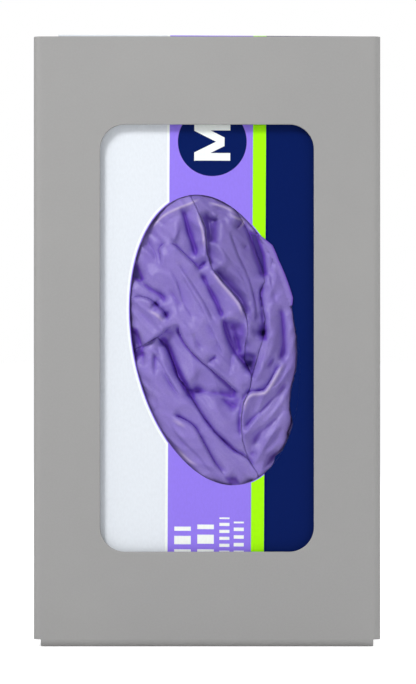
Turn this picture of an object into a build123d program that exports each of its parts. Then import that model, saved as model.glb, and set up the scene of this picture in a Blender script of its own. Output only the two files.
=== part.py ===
from build123d import *
import os

# A steel wall holder with a carton of disposable gloves standing in it. Millimetres.
# The origin is on the wall plane, at the centre of the four screw holes. +Z is up, +Y points
# into the wall, so the front of the holder faces -Y and lies at y = -HOLDER_D.

# Holder: sheet steel
SHEET = 1.5                  # sheet thickness
BEND_R = 3.0                 # outside radius of every fold
HOLDER_W = 144.4
HOLDER_H = 254.0
HOLDER_D = 80.0
EDGE_R = 0.35                # softened, painted sheet edge
WINDOW_W = 88.9
WINDOW_H = 177.8
WINDOW_CORNER_R = 10.2
WINDOW_RISE = 1.4            # centre of the window above the centre of the holder
CORNER_RELIEF = 3.0          # square notch where the shelf and the side walls meet
FLANGE_W = 18.0              # inward flanges behind the side walls
SHELF_LEG = 12.0             # stretch of front panel that the shelf is folded from
TAB_W = 96.0                 # upright tab at the back of the shelf
TAB_H = 16.0

# Back plate: screw holes and keyholes
PLATE_CORNER_R = 3.0
SCREW_R = 2.6
SCREW_SPACING_X = 60.0
SCREW_SPACING_Z = 120.0
KEYHOLE_X = 45.0
KEYHOLE_Z = 96.0
KEYHOLE_HEAD_R = 4.75
KEYHOLE_SLOT_R = 2.6
KEYHOLE_RISE = 9.0

# Blind rivets, countersunk flush with the wall face
RIVET_R = 1.6
RIVET_HEAD_R = 3.0
RIVET_HEAD_DEPTH = 1.0
RIVET_TAIL_R = 2.4
RIVET_TAIL_LENGTH = 1.9
RIVET_TAIL_ROUND = 0.7
RIVET_HOLE_CLEARANCE = 0.05
FLANGE_RIVET_X = 63.0
FLANGE_RIVET_Z = (-100.0, 0.0, 100.0)
TAB_RIVET_X = 36.0
TAB_RIVET_Z = -118.0

# Carton: folded board, in its own frame while it is built. There the origin is the lower
# right-hand rear corner, x runs from -CARTON_W to 0 and the front panel faces -y.
BOARD = 0.6
CARTON_W = 130.0
CARTON_H = 252.8
CARTON_D = 70.0
FOLD_R = 0.5                 # rounding along the folds
CARTON_LEAN = 0.3            # degrees, top to the right
CARTON_CORNER_X = 66.7       # lower right-hand rear corner, in the holder's frame
CARTON_CORNER_Y = -6.5
FLAP_MARGIN = 0.8            # the tucked flaps stop this far inside the walls
INNER_FLAP_D = 50.0
DUST_FLAP_W = 54.0
GLUE_FLAP_W = 15.0
GLUE_FLAP_MARGIN = 6.0

# Oval opening in the front panel
OVAL_HALF_H = 61.3
OVAL_HALF_W = 34.3
OVAL_TILT = 10.7             # degrees, top to the left
OVAL_X = 0.9                 # from the middle of the panel
OVAL_Z = -0.6

# Gloves in the mouth of the opening, and the stack behind them
GLOVE_MARGIN = 0.6           # clear of the board all round the oval
GLOVE_PROUD = 7.5            # how far the gloves bulge in front of the board
GLOVE_INSIDE = 3.6           # how far they reach back behind the board's front face
GLOVE_ROUND = 5.5
GLOVE_GAP = 0.5
STACK_GAP = 0.5
STACK_MARGIN = 2.2
STACK_ROUND = 7.0

BOTTOM_Z = -HOLDER_H / 2
FRONT_Y = -HOLDER_D
CUT_PAST = 1.0               # how far a cutting shape runs past the faces that it cuts


def block(x_low, x_high, y_low, y_high, z_low, z_high):
    """A box between two corners."""
    size = Box(x_high - x_low, y_high - y_low, z_high - z_low)
    return Pos((x_low + x_high) / 2, (y_low + y_high) / 2, (z_low + z_high) / 2) * size


def through_y(sketch, y_front, y_back):
    """A sketch in x and z, extruded from y_front to y_back."""
    return extrude(Plane.XZ.offset(-y_back) * sketch, y_back - y_front)


def folded_strip(points):
    """The edge view of folded sheet: its outer face follows the points, its body is left of them."""
    outer = FilletPolyline(*points, radius=BEND_R)
    return make_face(offset(outer, SHEET, side=Side.LEFT))


def save(shape, name):
    """Writes one node."""
    shape.label = name
    export_step(shape, f"parts/{name}.step")


# ---------------------------------------------------------------- holder
def rivet_places():
    """x and z of every rivet."""
    flange = [(side * FLANGE_RIVET_X, z) for side in (-1, 1) for z in FLANGE_RIVET_Z]
    tab = [(side * TAB_RIVET_X, TAB_RIVET_Z) for side in (-1, 1)]
    return flange + tab


def at_rivets(shape):
    """Copies of a shape built along +z, one at each rivet, with +z turned to point off the wall."""
    return [Pos(x, 0, z) * Rot(90, 0, 0) * shape for x, z in rivet_places()]


def rivet_hole():
    """The countersunk hole that one rivet fills, through the plate and the flange."""
    head = RIVET_HEAD_R + RIVET_HOLE_CLEARANCE
    shank = RIVET_R + RIVET_HOLE_CLEARANCE
    low = (Align.CENTER, Align.CENTER, Align.MIN)
    return Cone(head, shank, RIVET_HEAD_DEPTH, align=low) + Cylinder(shank, 2 * SHEET + CUT_PAST, align=low)


def make_front_cover():
    half_w = HOLDER_W / 2
    flange_x = half_w - FLANGE_W
    wall = folded_strip([
        (-flange_x, -SHEET), (-half_w, -SHEET), (-half_w, FRONT_Y),
        (half_w, FRONT_Y), (half_w, -SHEET), (flange_x, -SHEET),
    ])
    walls = Pos(0, 0, BOTTOM_Z + CORNER_RELIEF) * extrude(wall, HOLDER_H - CORNER_RELIEF)

    shelf_w = HOLDER_W - 2 * CORNER_RELIEF
    fold_start = -SHEET - 2 * BEND_R
    shelf_edge = folded_strip([
        (FRONT_Y, BOTTOM_Z + SHELF_LEG), (FRONT_Y, BOTTOM_Z), (fold_start, BOTTOM_Z),
    ])
    tab_edge = folded_strip([
        (fold_start - BEND_R, BOTTOM_Z), (-SHEET, BOTTOM_Z), (-SHEET, BOTTOM_Z + TAB_H),
    ])
    shelf = extrude(Plane.YZ * shelf_edge, shelf_w / 2, both=True)
    tab = extrude(Plane.YZ * tab_edge, TAB_W / 2, both=True)

    window = Pos(0, WINDOW_RISE) * RectangleRounded(WINDOW_W, WINDOW_H, WINDOW_CORNER_R)
    cover = walls + shelf + tab - through_y(window, FRONT_Y - CUT_PAST, FRONT_Y + SHEET + CUT_PAST)
    cover = cover - at_rivets(rivet_hole())

    near = 0.1
    window_edges = cover.edges().filter_by_position(Axis.Y, FRONT_Y - near, FRONT_Y + SHEET + near)
    window_edges = window_edges.filter_by_position(Axis.X, -WINDOW_W / 2 - near, WINDOW_W / 2 + near)
    window_edges = window_edges.filter_by_position(
        Axis.Z, WINDOW_RISE - WINDOW_H / 2 - near, WINDOW_RISE + WINDOW_H / 2 + near)
    cover = fillet(window_edges, EDGE_R)
    return fillet(cover.faces().sort_by(Axis.Z)[-1].edges(), EDGE_R)


def make_back_plate():
    outline = RectangleRounded(HOLDER_W, HOLDER_H, PLATE_CORNER_R)
    for side in (-1, 1):
        head = Pos(side * KEYHOLE_X, KEYHOLE_Z) * Circle(KEYHOLE_HEAD_R)
        slot_middle = KEYHOLE_Z + KEYHOLE_RISE / 2
        slot = Pos(side * KEYHOLE_X, slot_middle) * Rectangle(2 * KEYHOLE_SLOT_R, KEYHOLE_RISE)
        slot_end = Pos(side * KEYHOLE_X, KEYHOLE_Z + KEYHOLE_RISE) * Circle(KEYHOLE_SLOT_R)
        outline = outline - head - slot - slot_end
    screws = GridLocations(SCREW_SPACING_X, SCREW_SPACING_Z, 2, 2) * Circle(SCREW_R)
    plate = through_y(outline - screws, -SHEET, 0)
    rim = plate.faces().sort_by(Axis.Y)[-1].outer_wire().edges()
    return fillet(rim, EDGE_R) - at_rivets(rivet_hole())


def make_rivets():
    low = (Align.CENTER, Align.CENTER, Align.MIN)
    tail = Cylinder(RIVET_TAIL_R, RIVET_TAIL_LENGTH, align=low)
    tail = fillet(tail.edges().group_by(Axis.Z)[-1], RIVET_TAIL_ROUND)
    rivet = Cone(RIVET_HEAD_R, RIVET_R, RIVET_HEAD_DEPTH, align=low)
    rivet = rivet + Cylinder(RIVET_R, 2 * SHEET, align=low) + Pos(0, 0, 2 * SHEET) * tail
    return Compound(children=at_rivets(rivet))


# ---------------------------------------------------------------- carton
def oval(margin=0.0):
    """The outline of the opening, or one that lies inside it by the margin."""
    shape = Rot(0, 0, OVAL_TILT) * Ellipse(OVAL_HALF_W - margin, OVAL_HALF_H - margin)
    return Pos(OVAL_X - CARTON_W / 2, OVAL_Z + CARTON_H / 2) * shape


def make_carton_panels():
    """The four walls, which the outer flaps cover at top and bottom."""
    low, high = BOARD, CARTON_H - BOARD
    front = block(-CARTON_W, 0, -CARTON_D, BOARD - CARTON_D, low, high)
    front = fillet(front.edges().filter_by(Axis.Z).group_by(Axis.Y)[0], FOLD_R)
    back = block(-CARTON_W, 0, -BOARD, 0, low, high)
    back = fillet(back.edges().filter_by(Axis.Z).group_by(Axis.Y)[-1], FOLD_R)
    front = front - through_y(oval(), -CARTON_D - CUT_PAST, BOARD - CARTON_D + CUT_PAST)
    return {
        "carton_front_panel": front,
        "carton_back_panel": back,
        "carton_left_panel": block(-CARTON_W, BOARD - CARTON_W, BOARD - CARTON_D, -BOARD, low, high),
        "carton_right_panel": block(-BOARD, 0, BOARD - CARTON_D, -BOARD, low, high),
        "carton_glue_flap": block(
            -CARTON_W + FLAP_MARGIN, -CARTON_W + FLAP_MARGIN + GLUE_FLAP_W, -2 * BOARD, -BOARD,
            GLUE_FLAP_MARGIN, CARTON_H - GLUE_FLAP_MARGIN),
    }


def make_end_flaps(end, level):
    """The flaps of one end of the carton, outermost first. level(n) is the nth face from outside."""
    in_left, in_right = -CARTON_W + FLAP_MARGIN, -FLAP_MARGIN
    in_front, in_back = -CARTON_D + FLAP_MARGIN, -FLAP_MARGIN

    def flap(layer, x_low, x_high, y_low, y_high):
        z_low, z_high = sorted((level(layer), level(layer + 1)))
        return block(x_low, x_high, y_low, y_high, z_low, z_high)

    outer = flap(0, -CARTON_W, 0, -CARTON_D, 0)
    folds = outer.edges().filter_by(Axis.X).sort_by(lambda edge: abs(edge.center().Z - level(0)))[:2]
    outer = fillet(folds, FOLD_R)
    return {
        f"carton_{end}_outer_flap": outer,
        f"carton_{end}_inner_flap": flap(1, in_left, in_right, in_back - INNER_FLAP_D, in_back),
        f"carton_{end}_dust_flap_left": flap(2, in_left, in_left + DUST_FLAP_W, in_front, in_back),
        f"carton_{end}_dust_flap_right": flap(2, in_right - DUST_FLAP_W, in_right, in_front, in_back),
    }


# ---------------------------------------------------------------- gloves
# Where one glove in the mouth of the opening meets the next, as lines across the oval from
# left to right or top to bottom, measured from its centre.
LOWER_LINE = ((-31.0, 4.0), (20.0, -58.0))
MIDDLE_LINE = ((-12.0, 58.0), (15.0, -25.0))
SIDE_LINE = ((20.0, 60.0), (11.0, -30.0))


def beside(line, side):
    """A deep block on one side of a line: side is 1 for its left-hand side and -1 for its right."""
    start, end = (Vector(x, z) for x, z in line)
    along = (end - start).normalized()
    across = Vector(-along.Y, along.X) * side
    reach = 2 * OVAL_HALF_H
    aside = across * (GLOVE_GAP / 2)
    near = [start - along * reach + aside, end + along * reach + aside]
    far = [near[1] + across * reach, near[0] + across * reach]
    centre = Vector(OVAL_X - CARTON_W / 2, OVAL_Z + CARTON_H / 2)
    outline = make_face(Polyline(*(centre + corner for corner in near + far), close=True))
    return through_y(outline, -2 * CARTON_D, 0)


def make_mouth_gloves():
    """The gloves that fill the opening: one low dome, parted along the three lines."""
    front = -CARTON_D - GLOVE_PROUD
    dome = through_y(oval(GLOVE_MARGIN), front, -CARTON_D + GLOVE_INSIDE)
    dome = fillet(dome.edges().group_by(Axis.Y)[0], GLOVE_ROUND)
    above = dome & beside(LOWER_LINE, 1)
    right = above & beside(MIDDLE_LINE, 1)
    return {
        "lower_glove": dome & beside(LOWER_LINE, -1),
        "leading_glove": above & beside(MIDDLE_LINE, -1),
        "upper_glove": right & beside(SIDE_LINE, -1),
        "side_glove": right & beside(SIDE_LINE, 1),
    }


def make_glove_stack():
    flaps = 3 * BOARD + STACK_MARGIN
    front = -CARTON_D + GLOVE_INSIDE + STACK_GAP
    stack = block(
        -CARTON_W + STACK_MARGIN, -STACK_MARGIN, front, -STACK_MARGIN, flaps, CARTON_H - flaps)
    return fillet(stack.edges().filter_by(Axis.Y), STACK_ROUND)


# ---------------------------------------------------------------- all nodes
os.makedirs("parts", exist_ok=True)

save(make_front_cover(), "front_cover")
save(make_back_plate(), "back_plate")
save(make_rivets(), "back_plate_rivets")

carton = make_carton_panels()
carton.update(make_end_flaps("top", lambda layer: CARTON_H - layer * BOARD))
carton.update(make_end_flaps("bottom", lambda layer: layer * BOARD))
carton["glove_stack"] = make_glove_stack()
carton.update(make_mouth_gloves())

standing = Pos(CARTON_CORNER_X, CARTON_CORNER_Y, BOTTOM_Z + SHEET) * Rot(0, CARTON_LEAN, 0)
for name, shape in carton.items():
    save(standing * shape, name)
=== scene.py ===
import math

import bmesh
import bpy
import numpy as np
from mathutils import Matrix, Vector

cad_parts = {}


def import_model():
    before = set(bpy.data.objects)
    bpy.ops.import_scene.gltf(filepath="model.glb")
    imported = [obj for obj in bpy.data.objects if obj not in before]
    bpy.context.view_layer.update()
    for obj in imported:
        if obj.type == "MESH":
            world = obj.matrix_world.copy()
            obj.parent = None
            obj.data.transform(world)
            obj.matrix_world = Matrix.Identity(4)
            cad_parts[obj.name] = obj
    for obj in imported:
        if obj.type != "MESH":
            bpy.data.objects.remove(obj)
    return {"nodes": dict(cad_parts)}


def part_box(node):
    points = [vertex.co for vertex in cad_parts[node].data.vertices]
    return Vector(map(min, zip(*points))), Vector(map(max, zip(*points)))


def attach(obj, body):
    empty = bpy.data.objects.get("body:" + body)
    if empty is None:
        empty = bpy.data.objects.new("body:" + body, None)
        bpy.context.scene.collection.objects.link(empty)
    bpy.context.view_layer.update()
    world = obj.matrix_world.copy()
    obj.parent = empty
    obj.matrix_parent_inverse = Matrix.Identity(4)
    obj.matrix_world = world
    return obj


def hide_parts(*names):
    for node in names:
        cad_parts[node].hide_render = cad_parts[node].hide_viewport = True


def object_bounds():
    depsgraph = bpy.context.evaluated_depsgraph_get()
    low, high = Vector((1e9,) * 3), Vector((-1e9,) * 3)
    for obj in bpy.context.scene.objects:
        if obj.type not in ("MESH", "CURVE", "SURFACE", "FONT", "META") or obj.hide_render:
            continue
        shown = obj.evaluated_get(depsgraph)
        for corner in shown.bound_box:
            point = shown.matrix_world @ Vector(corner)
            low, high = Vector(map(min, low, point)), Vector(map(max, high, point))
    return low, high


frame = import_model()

# A powder-coated steel wall holder with a printed carton of nitrile gloves.
# Metres, in the CAD frame: the wall is at y = 0 and the front of the holder faces -y.
MM = 0.001
cad_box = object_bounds()

card_low, card_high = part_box("carton_front_panel")
CARTON_LEAN = math.radians(0.3)
CARTON_MIDDLE = (card_low + card_high) / 2
CARD_FACE_Y = card_low.y
CARTON_REAR_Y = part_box("carton_back_panel")[1].y
HOLDER_FACE_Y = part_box("front_cover")[0].y


def linear(red, green, blue):
    """A colour given as 8-bit screen values."""
    def one(level):
        level = level / 255
        return level / 12.92 if level <= 0.04045 else ((level + 0.055) / 1.055) ** 2.4
    return (one(red), one(green), one(blue), 1.0)


# ------------------------------------------------------------------ node helpers
class Tree:
    """Adds nodes to a node tree. An input is a value, or another node's output to link."""

    def __init__(self, tree):
        self.tree = tree

    def feed(self, socket, value):
        if isinstance(value, bpy.types.NodeSocket):
            self.tree.links.new(value, socket)
        else:
            socket.default_value = value

    def add(self, kind, inputs=None, **settings):
        made = self.tree.nodes.new(kind)
        for name, value in settings.items():
            setattr(made, name, value)
        for name, value in (inputs or {}).items():
            self.feed(made.inputs[name], value)
        return made

    def math(self, operation, *values):
        return self.add("ShaderNodeMath", dict(enumerate(values)), operation=operation).outputs[0]

    def plus(self, first, second):
        return self.math("ADD", first, second)

    def minus(self, first, second):
        return self.math("SUBTRACT", first, second)

    def times(self, first, second):
        return self.math("MULTIPLY", first, second)

    def mix(self, share, first, second):
        """Colour from first to second as share goes from 0 to 1."""
        made = self.add("ShaderNodeMix", data_type="RGBA")
        for name, value in (("Factor_Float", share), ("A_Color", first), ("B_Color", second)):
            self.feed(next(s for s in made.inputs if s.identifier == name), value)
        return next(s for s in made.outputs if s.identifier == "Result_Color")

    def ramp(self, value, low, high):
        """0 up to low and 1 from high on, with a soft start and end."""
        made = self.add("ShaderNodeMapRange", {"Value": value, "From Min": low, "From Max": high},
                        interpolation_type="SMOOTHSTEP")
        return made.outputs[0]

    def where(self):
        """The place on the object, in the CAD frame."""
        return self.add("ShaderNodeTexCoord").outputs["Object"]

    def axes(self):
        return self.add("ShaderNodeSeparateXYZ", {0: self.where()}).outputs

    def bump(self, height, strength, distance):
        made = self.add("ShaderNodeBump", {"Strength": strength, "Distance": distance, "Height": height})
        return made.outputs[0]

    def length(self, first, second):
        """The length of the slanting side over two square ones."""
        squares = [self.times(side, side) for side in (first, second)]
        return self.math("SQRT", self.plus(*squares))

    def place(self, group, **inputs):
        """The outputs of a shared effect."""
        given = {name.replace("_", " "): value for name, value in inputs.items()}
        return self.add("ShaderNodeGroup", given, node_tree=group).outputs


def new_group(name, inputs, outputs):
    """A shader node group, its nodes, and its input and output sockets. inputs are name: default
    value, and outputs are names, all numbers."""
    group = bpy.data.node_groups.new(name, "ShaderNodeTree")
    for socket, value in inputs.items():
        kind = "NodeSocketVector" if isinstance(value, tuple) else "NodeSocketFloat"
        made = group.interface.new_socket(socket, in_out="INPUT", socket_type=kind)
        made.default_value = value
    for socket in outputs:
        group.interface.new_socket(socket, in_out="OUTPUT", socket_type="NodeSocketFloat")
    given = group.nodes.new("NodeGroupInput").outputs
    put = group.nodes.new("NodeGroupOutput").inputs
    return group, Tree(group), given, put


def new_material(name, **shader):
    """A material with a Principled shader whose plain numbers are set on its own sockets."""
    material = bpy.data.materials.new(name)
    material.use_nodes = True
    tree = material.node_tree
    tree.nodes.clear()
    nodes = Tree(tree)
    settings = {socket.replace("_", " "): value for socket, value in shader.items()}
    principled = nodes.add("ShaderNodeBsdfPrincipled", settings)
    nodes.add("ShaderNodeOutputMaterial", {"Surface": principled.outputs[0]})
    return material, nodes, principled


def link(nodes, principled, **values):
    for name, value in values.items():
        nodes.tree.links.new(value, principled.inputs[name.replace("_", " ")])


def new_object(name, data):
    made = bpy.data.objects.new(name, data)
    bpy.context.scene.collection.objects.link(made)
    return made


# ------------------------------------------------------------------ shared effects
def make_grain_group():
    """Two sizes of fine noise: paint stipple, board fibre or the skin of a moulded film."""
    group, nodes, given, put = new_group(
        "Surface grain", {"Size": 0.001, "Fineness": 4.0, "Stretch": (1.0, 1.0, 1.0)}, ["Height", "Tone"])
    stretched = nodes.add(
        "ShaderNodeVectorMath", {0: nodes.where(), 1: given["Stretch"]}, operation="MULTIPLY")
    where = stretched.outputs[0]
    coarse_scale = nodes.math("DIVIDE", 1.0, given["Size"])
    fine_scale = nodes.times(coarse_scale, given["Fineness"])
    coarse = nodes.add("ShaderNodeTexNoise", {"Vector": where, "Scale": coarse_scale, "Detail": 2.0})
    fine = nodes.add("ShaderNodeTexNoise", {"Vector": where, "Scale": fine_scale, "Detail": 1.0})
    height = nodes.math("MULTIPLY_ADD", fine.outputs[0], 0.4, coarse.outputs[0])
    nodes.tree.links.new(height, put["Height"])
    nodes.tree.links.new(nodes.ramp(coarse.outputs[0], 0.3, 0.7), put["Tone"])
    return group


def make_handling_group():
    """Uneven patches left by handling and dust, from 0, clean, to 1."""
    group, nodes, given, put = new_group(
        "Handling marks", {"Size": 0.05, "Amount": 0.5}, ["Mask"])
    scale = nodes.math("DIVIDE", 1.0, given["Size"])
    cloud = nodes.add(
        "ShaderNodeTexNoise", {"Vector": nodes.where(), "Scale": scale, "Detail": 5.0, "Roughness": 0.6})
    mask = nodes.ramp(cloud.outputs[0], 0.42, 0.72)
    nodes.tree.links.new(nodes.times(mask, given["Amount"]), put["Mask"])
    return group


GRAIN = make_grain_group()
HANDLING = make_handling_group()


# ------------------------------------------------------------------ holder materials
def make_powder_coat():
    """Light warm grey powder coat with a fine orange peel."""
    material, nodes, principled = new_material("light_grey_powder_coat", Specular_IOR_Level=0.4)
    grain = nodes.place(GRAIN, Size=0.0008, Fineness=3.0)
    marks = nodes.place(HANDLING, Size=0.06, Amount=1.0)
    plain, flecked, handled = linear(157, 156, 155), linear(159, 158, 157), linear(164, 163, 161)
    base = nodes.mix(grain["Tone"], plain, flecked)
    base = nodes.mix(nodes.times(marks["Mask"], 0.25), base, handled)
    rough = nodes.math("MULTIPLY_ADD", marks["Mask"], 0.08, 0.46)
    stipple = nodes.bump(grain["Height"], 0.03, 0.2 * MM)
    link(nodes, principled, Base_Color=base, Roughness=rough, Normal=stipple)
    return material


def make_rivet_metal():
    """Drawn aluminium, a little dull and scuffed."""
    material, nodes, principled = new_material("rivet_aluminium", Metallic=1.0)
    grain = nodes.place(GRAIN, Size=0.0004, Fineness=4.0, Stretch=(1.0, 0.3, 1.0))
    marks = nodes.place(HANDLING, Size=0.004, Amount=1.0)
    bright, dulled = linear(196, 197, 199), linear(160, 161, 164)
    base = nodes.mix(marks["Mask"], bright, dulled)
    rough = nodes.math("MULTIPLY_ADD", grain["Tone"], 0.2, 0.3)
    drawn = nodes.bump(grain["Height"], 0.2, 0.1 * MM)
    link(nodes, principled, Base_Color=base, Roughness=rough, Normal=drawn)
    return material


# ------------------------------------------------------------------ carton print
# Places on the carton are in millimetres from the middle of its front panel, along its own
# leaning sides: across to the right and up.
LAVENDER_LEFT, LIME_LEFT, LIME_RIGHT = -18.4, 16.35, 21.8
WHITE_LINE = 1.0  # bright line that edges the lavender band and the oval
OVAL_CENTRE = (0.9, -0.6)
OVAL_HALF = (34.3, 61.3)
OVAL_TILT = math.radians(10.7)
OVAL_RIM = 0.4
SIZE_BADGE = (-0.6, 82.1, 14.35)  # across, up, radius
LETTER_LEFT_RIGHT, LETTER_FOOT_HEAD = (-8.1, 6.9), (74.2, 90.0)
LETTER_STROKE = 3.2
LETTER_POINT = 2.4  # how far short of the legs' ends the slants meet
NAVY_EDGE = 0.9  # the darker line along the lime band
TEXT_FOOT = -117.0
TEXT_LINES = [  # left, right, top, spacing of the blocks, share that is filled
    (-15.6, -8.7, -78.5, 5.6, 0.62), (-6.0, 0.9, -77.6, 6.1, 0.62),
    (3.2, 7.4, -74.6, 2.9, 0.45), (9.2, 13.4, -76.3, 3.2, 0.45)]


def carton_places(nodes):
    """Across and up on the carton's front, in millimetres."""
    x = nodes.minus(nodes.axes()["X"], CARTON_MIDDLE.x)
    z = nodes.minus(nodes.axes()["Z"], CARTON_MIDDLE.z)
    cos, sin = math.cos(CARTON_LEAN) / MM, math.sin(CARTON_LEAN) / MM
    across = nodes.minus(nodes.times(x, cos), nodes.times(z, sin))
    up = nodes.plus(nodes.times(x, sin), nodes.times(z, cos))
    return across, up


def edge(nodes, value, at, soft=0.06):
    """1 where value is past at, with a printed edge's slight softness."""
    return nodes.ramp(value, at - soft, at + soft)


def before(nodes, value, at):
    return nodes.minus(1.0, edge(nodes, value, at))


def between(nodes, value, low, high):
    return nodes.times(edge(nodes, value, low), before(nodes, value, high))


def oval_distance(nodes, across, up):
    """Roughly how far outside the opening a place is, in millimetres."""
    x = nodes.minus(across, OVAL_CENTRE[0])
    z = nodes.minus(up, OVAL_CENTRE[1])
    cos, sin = math.cos(OVAL_TILT), math.sin(OVAL_TILT)
    short = nodes.plus(nodes.times(x, cos), nodes.times(z, sin))
    long = nodes.minus(nodes.times(z, cos), nodes.times(x, sin))
    shares = [nodes.math("DIVIDE", way, half) for way, half in zip((short, long), OVAL_HALF)]
    slopes = [nodes.math("DIVIDE", share, half) for share, half in zip(shares, OVAL_HALF)]
    reach, slope = nodes.length(*shares), nodes.length(*slopes)
    excess = nodes.minus(reach, 1.0)
    return nodes.math("DIVIDE", nodes.times(excess, reach), slope)


def stroke(nodes, across, up, start, end, width):
    """1 on a straight stroke of the given width from start to end."""
    run = Vector(end) - Vector(start)
    dx = nodes.minus(across, start[0])
    dz = nodes.minus(up, start[1])
    share, unit = run / run.length_squared, run / run.length
    along = nodes.plus(nodes.times(dx, share.x), nodes.times(dz, share.y))
    side = nodes.minus(nodes.times(dx, unit.y), nodes.times(dz, unit.x))
    inside = nodes.math("LESS_THAN", nodes.math("ABSOLUTE", side), width / 2)
    started, not_ended = nodes.math("GREATER_THAN", along, 0.0), nodes.math("LESS_THAN", along, 1.0)
    return nodes.times(inside, nodes.times(started, not_ended))


def make_printed_board():
    """White clay-coated board with flat inks under a thin varnish, and raw grey cut edges."""
    material, nodes, principled = new_material("printed_carton_board", Specular_IOR_Level=0.05)
    across, up = carton_places(nodes)
    white = linear(231, 236, 242)
    bright = linear(247, 252, 248)
    lavender = linear(151, 126, 241)
    lime = linear(168, 254, 16)
    navy = linear(5, 27, 90)
    overprint = linear(2, 6, 90)
    raw, raw_fleck = linear(150, 146, 140), linear(172, 168, 162)

    ink = white
    for left, colour in ((LAVENDER_LEFT - WHITE_LINE, bright), (LAVENDER_LEFT, lavender),
                         (LIME_LEFT, lime), (LIME_RIGHT, overprint)):
        ink = nodes.mix(edge(nodes, across, left), ink, colour)
    ink = nodes.mix(edge(nodes, across, LIME_RIGHT + NAVY_EDGE, 0.2), ink, navy)

    outside = oval_distance(nodes, across, up)
    left_half = nodes.math("LESS_THAN", across, LIME_RIGHT)
    front = nodes.math("LESS_THAN", nodes.axes()["Y"], CARD_FACE_Y + 2 * MM)
    rim = before(nodes, outside, OVAL_RIM)
    line = before(nodes, outside, OVAL_RIM + WHITE_LINE)
    on_white = nodes.times(nodes.math("LESS_THAN", across, LAVENDER_LEFT), front)
    ink = nodes.mix(nodes.times(line, on_white), ink, bright)
    ink = nodes.mix(nodes.times(rim, nodes.times(left_half, front)), ink, lavender)

    badge_x, badge_z, badge_r = SIZE_BADGE
    dx = nodes.minus(across, badge_x)
    dz = nodes.minus(up, badge_z)
    badge = before(nodes, nodes.length(dx, dz), badge_r)
    ink = nodes.mix(nodes.times(badge, front), ink, navy)
    marked = nodes.math("MAXIMUM", size_letter(nodes, across, up), text_bars(nodes, across, up))
    ink = nodes.mix(nodes.times(marked, front), ink, bright)

    grain = nodes.place(GRAIN, Size=0.0009, Fineness=5.0, Stretch=(1.0, 1.0, 0.5))
    marks = nodes.place(HANDLING, Size=0.04, Amount=1.0)
    worn = nodes.math("MULTIPLY_ADD", grain["Tone"], -0.035, 1.0)
    ink = nodes.add("ShaderNodeVectorMath", {0: ink, "Scale": worn}, operation="SCALE").outputs[0]
    fibre = nodes.mix(grain["Tone"], raw, raw_fleck)
    ink = nodes.mix(raw_board(nodes), ink, fibre)
    rough = nodes.math("MULTIPLY_ADD", marks["Mask"], 0.12, 0.38)
    tooth = nodes.bump(grain["Height"], 0.08, 0.1 * MM)
    link(nodes, principled, Base_Color=ink, Roughness=rough, Normal=tooth)
    return material


def raw_board(nodes):
    """1 on the board's unprinted side and on the cut edge of the opening, which face inwards."""
    places = nodes.add("ShaderNodeTexCoord").outputs
    middle = (CARTON_MIDDLE.x, (CARD_FACE_Y + CARTON_REAR_Y) / 2, CARTON_MIDDLE.z)
    outward = nodes.add("ShaderNodeVectorMath", {0: places["Object"], 1: middle}, operation="SUBTRACT")
    facing = nodes.add("ShaderNodeVectorMath", {0: outward.outputs[0], 1: places["Normal"]},
                       operation="DOT_PRODUCT")
    return nodes.math("LESS_THAN", facing.outputs["Value"], 0.0)


def size_letter(nodes, across, up):
    """The white size mark on the badge: a letter of four strokes, read from the right-hand side. Its
    two legs run across the carton, and two slants meet between them at a blunt point."""
    left, right = LETTER_LEFT_RIGHT
    foot, head = LETTER_FOOT_HEAD
    point = Vector((right - LETTER_POINT, (foot + head) / 2))
    mask = 0.0
    for level in (foot + LETTER_STROKE / 2, head - LETTER_STROKE / 2):
        corner = Vector((left, level))
        past = (point - corner) * 0.2  # beyond both ends, to be cut off square
        slant = stroke(nodes, across, up, corner - past, point + past, LETTER_STROKE)
        slant = nodes.times(slant, between(nodes, across, left, point.x))
        leg = stroke(nodes, across, up, corner, (right, level), LETTER_STROKE)
        mask = nodes.math("MAXIMUM", nodes.math("MAXIMUM", slant, leg), mask)
    return mask


def text_bars(nodes, across, up):
    """Plain blocks where lines of lettering would be: two heavy lines and two light ones, which run
    up the carton from its foot."""
    mask = 0.0
    for low, high, top, pitch, share in TEXT_LINES:
        step = nodes.math("PINGPONG", nodes.minus(top, up), pitch / 2)
        block = nodes.math("LESS_THAN", step, pitch / 2 * share)
        under_top, over_foot = nodes.math("LESS_THAN", up, top), nodes.math("GREATER_THAN", up, TEXT_FOOT)
        blocks = nodes.times(block, nodes.times(under_top, over_foot))
        line = nodes.times(between(nodes, across, low, high), blocks)
        mask = nodes.math("MAXIMUM", line, mask)
    return mask


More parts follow.
